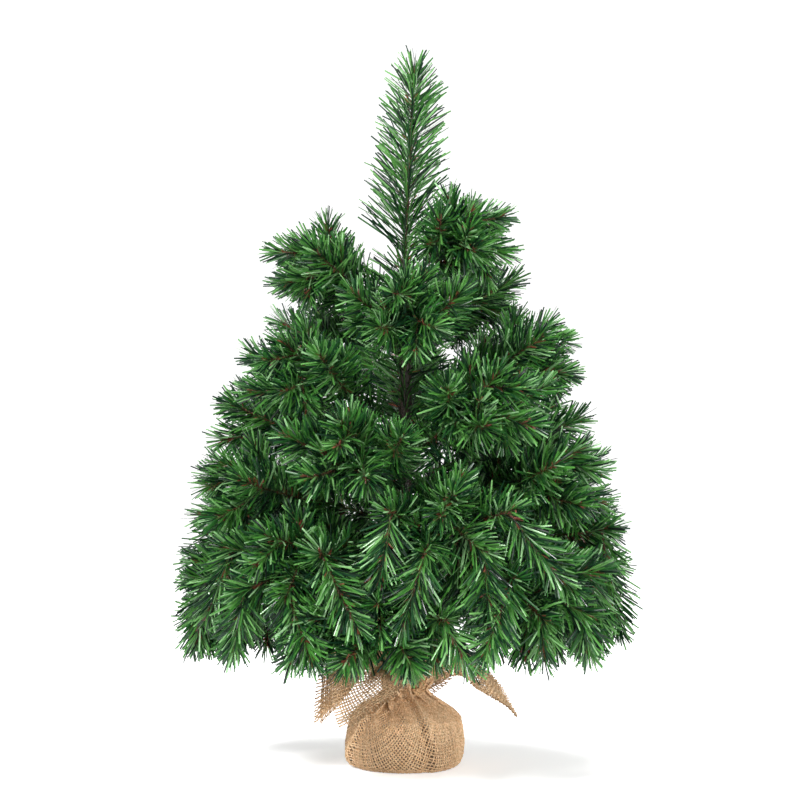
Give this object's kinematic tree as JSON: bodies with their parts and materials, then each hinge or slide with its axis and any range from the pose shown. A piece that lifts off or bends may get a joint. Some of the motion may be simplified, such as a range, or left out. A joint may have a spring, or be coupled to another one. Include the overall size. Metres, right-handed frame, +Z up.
{
  "type": "artificial tabletop tree",
  "caption": "Small artificial pine tree with bendable wire branches on a taped trunk, its weighted foot wrapped in tied burlap.",
  "frame": {"origin": "centre of the bag's flat underside, on the trunk's axis", "axes": "+Z up along the trunk, -Y towards the front of the tree, +X to its right as seen from the front"},
  "size_m": [0.3713, 0.3742, 0.5922],
  "materials": {
    "needles": "satin",
    "stem_wire": "satin",
    "burlap": "matte",
    "jute": "matte",
    "rod_steel": "satin",
    "tape": "satin",
    "cement": "matte",
    "cup_plastic": "satin"
  },
  "bodies": {
    "trunk": {"base_cup": "cup_plastic", "base_weight": "cement", "burlap_wrap": "burlap", "neck_twine": "jute", "twine_knot": "jute", "trunk_rod": "rod_steel", "trunk_tape": "tape"},
    "branch_01": {"branch_01_stem": "stem_wire", "branch_01_needles": "needles"},
    "branch_02": {"branch_02_stem": "stem_wire", "branch_02_needles": "needles"},
    "branch_03": {"branch_03_stem": "stem_wire", "branch_03_needles": "needles"},
    "branch_04": {"branch_04_stem": "stem_wire", "branch_04_needles": "needles"},
    "branch_05": {"branch_05_stem": "stem_wire", "branch_05_needles": "needles"},
    "branch_06": {"branch_06_stem": "stem_wire", "branch_06_needles": "needles"},
    "branch_07": {"branch_07_stem": "stem_wire", "branch_07_needles": "needles"},
    "branch_08": {"branch_08_stem": "stem_wire", "branch_08_needles": "needles"},
    "branch_09": {"branch_09_stem": "stem_wire", "branch_09_needles": "needles"},
    "branch_10": {"branch_10_stem": "stem_wire", "branch_10_needles": "needles"},
    "branch_11": {"branch_11_stem": "stem_wire", "branch_11_needles": "needles"},
    "branch_12": {"branch_12_stem": "stem_wire", "branch_12_needles": "needles"},
    "branch_13": {"branch_13_stem": "stem_wire", "branch_13_needles": "needles"},
    "branch_14": {"branch_14_stem": "stem_wire", "branch_14_needles": "needles"},
    "branch_15": {"branch_15_stem": "stem_wire", "branch_15_needles": "needles"},
    "branch_16": {"branch_16_stem": "stem_wire", "branch_16_needles": "needles"},
    "branch_17": {"branch_17_stem": "stem_wire", "branch_17_needles": "needles"},
    "branch_18": {"branch_18_stem": "stem_wire", "branch_18_needles": "needles"},
    "branch_19": {"branch_19_stem": "stem_wire", "branch_19_needles": "needles"},
    "branch_20": {"branch_20_stem": "stem_wire", "branch_20_needles": "needles"},
    "branch_21": {"branch_21_stem": "stem_wire", "branch_21_needles": "needles"},
    "branch_22": {"branch_22_stem": "stem_wire", "branch_22_needles": "needles"},
    "branch_23": {"branch_23_stem": "stem_wire", "branch_23_needles": "needles"},
    "branch_24": {"branch_24_stem": "stem_wire", "branch_24_needles": "needles"},
    "branch_25": {"branch_25_stem": "stem_wire", "branch_25_needles": "needles"},
    "leader": {"leader_stem": "stem_wire", "leader_needles": "needles"}
  },
  "joints": [
    {"name": "branch_01_bend", "type": "hinge", "parent": "trunk", "child": "branch_01", "pos_m": [-0.00102, -0.00832, 0.14362], "axis": [-0.9925, 0.1219, 0], "range_deg": [-12, 12], "deforming": ["branch_01_needles"]},
    {"name": "branch_02_bend", "type": "hinge", "parent": "trunk", "child": "branch_02", "pos_m": [0.00634, 0.00542, 0.14875], "axis": [0.6494, -0.7604, 0], "range_deg": [-12, 12], "deforming": ["branch_02_needles"]},
    {"name": "branch_03_bend", "type": "hinge", "parent": "trunk", "child": "branch_03", "pos_m": [-0.0083, 0.00029, 0.15393], "axis": [0.0349, 0.9994, 0], "range_deg": [-12, 12], "deforming": ["branch_03_needles"]},
    {"name": "branch_04_bend", "type": "hinge", "parent": "trunk", "child": "branch_04", "pos_m": [0.0059, -0.0058, 0.15917], "axis": [-0.7009, -0.7133, 0], "range_deg": [-12, 12], "deforming": ["branch_04_needles"]},
    {"name": "branch_05_bend", "type": "hinge", "parent": "trunk", "child": "branch_05", "pos_m": [-0.00043, 0.00822, 0.16446], "axis": [0.9986, 0.0523, 0], "range_deg": [-12, 12], "deforming": ["branch_05_needles"]},
    {"name": "branch_06_bend", "type": "hinge", "parent": "trunk", "child": "branch_06", "pos_m": [-0.00522, -0.00633, 0.16983], "axis": [-0.7716, 0.6361, 0], "range_deg": [-12, 12], "deforming": ["branch_06_needles"]},
    {"name": "branch_07_bend", "type": "hinge", "parent": "trunk", "child": "branch_07", "pos_m": [0.00807, 0.00113, 0.17698], "axis": [0.1392, -0.9903, 0], "range_deg": [-12, 12], "deforming": ["branch_07_needles"]},
    {"name": "branch_08_bend", "type": "hinge", "parent": "trunk", "child": "branch_08", "pos_m": [-0.00668, 0.00459, 0.18253], "axis": [0.5664, 0.8241, 0], "range_deg": [-12, 12], "deforming": ["branch_08_needles"]},
    {"name": "branch_09_bend", "type": "hinge", "parent": "trunk", "child": "branch_09", "pos_m": [0.00181, -0.00785, 0.18991], "axis": [-0.9744, -0.225, 0], "range_deg": [-12, 12], "deforming": ["branch_09_needles"]},
    {"name": "branch_10_bend", "type": "hinge", "parent": "trunk", "child": "branch_10", "pos_m": [0.00395, 0.00698, 0.19568], "axis": [0.8704, -0.4924, 0], "range_deg": [-12, 12], "deforming": ["branch_10_needles"]},
    {"name": "branch_11_bend", "type": "hinge", "parent": "trunk", "child": "branch_11", "pos_m": [-0.00758, -0.00246, 0.20334], "axis": [-0.309, 0.9511, 0], "range_deg": [-12, 12], "deforming": ["branch_11_needles"]},
    {"name": "branch_12_bend", "type": "hinge", "parent": "trunk", "child": "branch_12", "pos_m": [0.0072, -0.00328, 0.21118], "axis": [-0.4147, -0.91, 0], "range_deg": [-12, 12], "deforming": ["branch_12_needles"]},
    {"name": "branch_13_bend", "type": "hinge", "parent": "trunk", "child": "branch_13", "pos_m": [-0.00307, 0.00723, 0.21921], "axis": [0.9205, 0.3907, 0], "range_deg": [-12, 12], "deforming": ["branch_13_needles"]},
    {"name": "branch_14_bend", "type": "hinge", "parent": "trunk", "child": "branch_14", "pos_m": [-0.0026, -0.00735, 0.22745], "axis": [-0.9426, 0.3338, 0], "range_deg": [-12, 12], "deforming": ["branch_14_needles"]},
    {"name": "branch_15_bend", "type": "hinge", "parent": "trunk", "child": "branch_15", "pos_m": [0.00684, 0.00364, 0.23592], "axis": [0.4695, -0.8829, 0], "range_deg": [-12, 12], "deforming": ["branch_15_needles"]},
    {"name": "branch_16_bend", "type": "hinge", "parent": "trunk", "child": "branch_16", "pos_m": [-0.00743, 0.00192, 0.24657], "axis": [0.2504, 0.9681, 0], "range_deg": [-12, 12], "deforming": ["branch_16_needles"]},
    {"name": "branch_17_bend", "type": "hinge", "parent": "trunk", "child": "branch_17", "pos_m": [0.00414, -0.00637, 0.25758], "axis": [-0.8387, -0.5446, 0], "range_deg": [-12, 12], "deforming": ["branch_17_needles"]},
    {"name": "branch_18_bend", "type": "hinge", "parent": "trunk", "child": "branch_18", "pos_m": [0.00124, 0.00741, 0.26897], "axis": [0.9863, -0.165, 0], "range_deg": [-12, 12], "deforming": ["branch_18_needles"]},
    {"name": "branch_19_bend", "type": "hinge", "parent": "trunk", "child": "branch_19", "pos_m": [-0.00586, -0.00458, 0.28079], "axis": [-0.6157, 0.788, 0], "range_deg": [-12, 12], "deforming": ["branch_19_needles"]},
    {"name": "branch_20_bend", "type": "hinge", "parent": "trunk", "child": "branch_20", "pos_m": [0.00731, -0.00057, 0.29518], "axis": [-0.0785, -0.9969, 0], "range_deg": [-12, 12], "deforming": ["branch_20_needles"]},
    {"name": "branch_21_bend", "type": "hinge", "parent": "trunk", "child": "branch_21", "pos_m": [-0.00493, 0.00529, 0.3102], "axis": [0.7314, 0.682, 0], "range_deg": [-12, 12], "deforming": ["branch_21_needles"]},
    {"name": "branch_22_bend", "type": "hinge", "parent": "trunk", "child": "branch_22", "pos_m": [0.00006, -0.00709, 0.3304], "axis": [-1, -0.0087, 0], "range_deg": [-12, 12], "deforming": ["branch_22_needles"]},
    {"name": "branch_23_bend", "type": "hinge", "parent": "trunk", "child": "branch_23", "pos_m": [0.00466, 0.00517, 0.34932], "axis": [0.7431, -0.6691, 0], "range_deg": [-12, 12], "deforming": ["branch_23_needles"]},
    {"name": "branch_24_bend", "type": "hinge", "parent": "trunk", "child": "branch_24", "pos_m": [-0.00674, -0.00065, 0.37645], "axis": [-0.0958, 0.9954, 0], "range_deg": [-12, 12], "deforming": ["branch_24_needles"]},
    {"name": "branch_25_bend", "type": "hinge", "parent": "trunk", "child": "branch_25", "pos_m": [0.00524, -0.00395, 0.40775], "axis": [-0.6018, -0.7986, 0], "range_deg": [-12, 12], "deforming": ["branch_25_needles"]},
    {"name": "leader_bend", "type": "hinge", "parent": "trunk", "child": "leader", "pos_m": [0, 0, 0.42545], "axis": [0, 1, 0], "range_deg": [-30, 30], "deforming": ["leader_needles"]}
  ]
}
